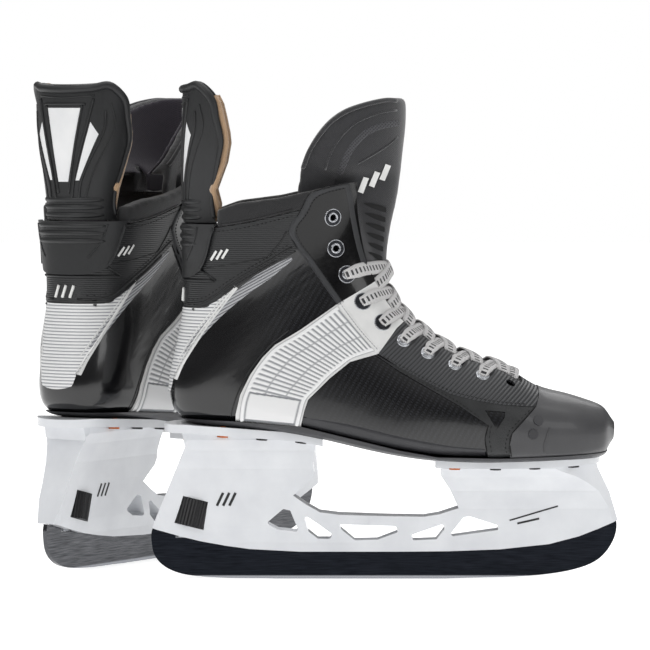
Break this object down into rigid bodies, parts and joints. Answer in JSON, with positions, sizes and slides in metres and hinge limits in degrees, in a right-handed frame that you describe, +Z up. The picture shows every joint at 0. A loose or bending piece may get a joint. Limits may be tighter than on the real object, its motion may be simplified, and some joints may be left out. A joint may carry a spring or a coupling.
{
  "type": "ice hockey skates",
  "caption": "Pair of laced ice hockey skates: padded boots on open white blade holders, with quick-release black steel runners, folding tongues and flexing tendon guards.",
  "frame": {"origin": "middle of the pair's footprint, on the ice under the runners", "axes": "+X towards the right skate's toe, +Y to its wearer's left, +Z up"},
  "size_m": [0.3774, 0.319, 0.3194],
  "materials": {
    "panel_black": "synthetic leather, satin",
    "collar_fabric": "padded, matte",
    "copper": "plain copper",
    "eyelet_metal": "blackened, polished",
    "liner_fabric": "brushed liner",
    "guard_plastic": "moulded, satin",
    "tan_felt": "felt",
    "white_insert": "moulded, ribbed",
    "white_nylon": "moulded, gloss",
    "lace_cotton": "flat woven with a black fleck",
    "dial_plastic": "knurled",
    "steel_plain": "machined",
    "facing_ribbed": "ribbed, satin",
    "white_leather": "synthetic leather, ribbed",
    "sole_composite": "moulded composite",
    "steel_black": "black coated, polished",
    "shell_gloss": "lacquered composite",
    "rivet_black": "black",
    "cap_plastic": "moulded, satin",
    "cap_plug": "moulded, satin",
    "tongue_lining": "soft lining",
    "tongue_fabric": "felt with moulded ribs",
    "facing_patent": "patent"
  },
  "bodies": {
    "boots": {"right_ankle_panel": "panel_black", "right_collar": "collar_fabric", "right_copper_rivets": "copper", "right_eyelets": "eyelet_metal", "right_footbed": "liner_fabric", "right_guard_base": "guard_plastic", "right_heel_insert": "white_insert", "right_holder": "white_nylon", "right_lace": "lace_cotton", "right_liner": "liner_fabric", "right_lower_facing": "facing_ribbed", "right_middle_facings": "white_leather", "right_outsole": "sole_composite", "right_shell": "shell_gloss", "right_side_stripes": "white_leather", "right_steel_rivets": "rivet_black", "right_toe_cap": "cap_plastic", "right_toe_cap_plugs": "cap_plug", "right_toe_strap": "facing_ribbed", "right_tongue_lower": "tongue_fabric", "right_upper_facings": "facing_patent", "left_ankle_panel": "panel_black", "left_collar": "collar_fabric", "left_copper_rivets": "copper", "left_eyelets": "eyelet_metal", "left_footbed": "liner_fabric", "left_guard_base": "guard_plastic", "left_heel_insert": "white_insert", "left_holder": "white_nylon", "left_lace": "lace_cotton", "left_liner": "liner_fabric", "left_lower_facing": "facing_ribbed", "left_middle_facings": "white_leather", "left_outsole": "sole_composite", "left_shell": "shell_gloss", "left_side_stripes": "white_leather", "left_steel_rivets": "rivet_black", "left_toe_cap": "cap_plastic", "left_toe_cap_plugs": "cap_plug", "left_toe_strap": "facing_ribbed", "left_tongue_lower": "tongue_fabric", "left_upper_facings": "facing_patent"},
    "right_guard": {"right_guard_felt": "tan_felt", "right_guard_inserts": "white_insert", "right_tendon_guard": "guard_plastic"},
    "right_dial": {"right_lock_dial": "dial_plastic"},
    "right_rod": {"right_lock_rod": "steel_plain"},
    "right_runner": {"right_runner": "steel_black"},
    "right_tongue": {"right_tongue_felt": "tongue_lining", "right_tongue_flap": "tongue_fabric"},
    "left_guard": {"left_guard_felt": "tan_felt", "left_guard_inserts": "white_insert", "left_tendon_guard": "guard_plastic"},
    "left_dial": {"left_lock_dial": "dial_plastic"},
    "left_rod": {"left_lock_rod": "steel_plain"},
    "left_runner": {"left_runner": "steel_black"},
    "left_tongue": {"left_tongue_felt": "tongue_lining", "left_tongue_flap": "tongue_fabric"}
  },
  "joints": [
    {"name": "right_guard_flex", "type": "hinge", "parent": "boots", "child": "right_guard", "pos_m": [-0.09075, -0.11215, 0.23], "axis": [0, -1, 0], "range_deg": [0, 25], "stiffness_Nm_per_rad": 0.4},
    {"name": "right_tongue_fold", "type": "hinge", "parent": "boots", "child": "right_tongue", "pos_m": [0.04655, -0.11215, 0.243], "axis": [0, 1, 0], "range_deg": [0, 35], "stiffness_Nm_per_rad": 0.2},
    {"name": "right_dial_turn", "type": "hinge", "parent": "boots", "child": "right_dial", "pos_m": [-0.08495, -0.11215, 0.0435], "axis": [0.2419, 0, 0.9703], "range_deg": [0, 360]},
    {"name": "right_rod_slide", "type": "slide", "parent": "boots", "child": "right_rod", "axis": [-0.2419, 0, -0.9703], "range_m": [0, 0.0031]},
    {"name": "right_runner_release", "type": "hinge", "parent": "boots", "child": "right_runner", "pos_m": [0.18005, -0.11215, 0.036], "axis": [0, -1, 0], "range_deg": [0, 0.625]},
    {"name": "left_guard_flex", "type": "hinge", "parent": "boots", "child": "left_guard", "pos_m": [-0.16979, -0.07479, 0.23], "axis": [0.8192, -0.5736, 0], "range_deg": [0, 25], "stiffness_Nm_per_rad": 0.4},
    {"name": "left_tongue_fold", "type": "hinge", "parent": "boots", "child": "left_tongue", "pos_m": [-0.09103, 0.03768, 0.243], "axis": [-0.8192, 0.5736, 0], "range_deg": [0, 35], "stiffness_Nm_per_rad": 0.2},
    {"name": "left_dial_turn", "type": "hinge", "parent": "boots", "child": "left_dial", "pos_m": [-0.16646, -0.07004, 0.0435], "axis": [0.1388, 0.1982, 0.9703], "range_deg": [0, 360]},
    {"name": "left_rod_slide", "type": "slide", "parent": "boots", "child": "left_rod", "axis": [-0.1388, -0.1982, -0.9703], "range_m": [0, 0.0031]},
    {"name": "left_runner_release", "type": "hinge", "parent": "boots", "child": "left_runner", "pos_m": [-0.01446, 0.14704, 0.036], "axis": [0.8192, -0.5736, 0], "range_deg": [0, 0.625]}
  ],
  "couplings": [
    {"joint": "right_rod_slide", "follows": "right_runner_release", "m_per_rad": 0.27466},
    {"joint": "right_dial_turn", "follows": "right_runner_release", "ratio": 575.24},
    {"joint": "left_rod_slide", "follows": "left_runner_release", "m_per_rad": 0.27466},
    {"joint": "left_dial_turn", "follows": "left_runner_release", "ratio": 575.24}
  ]
}
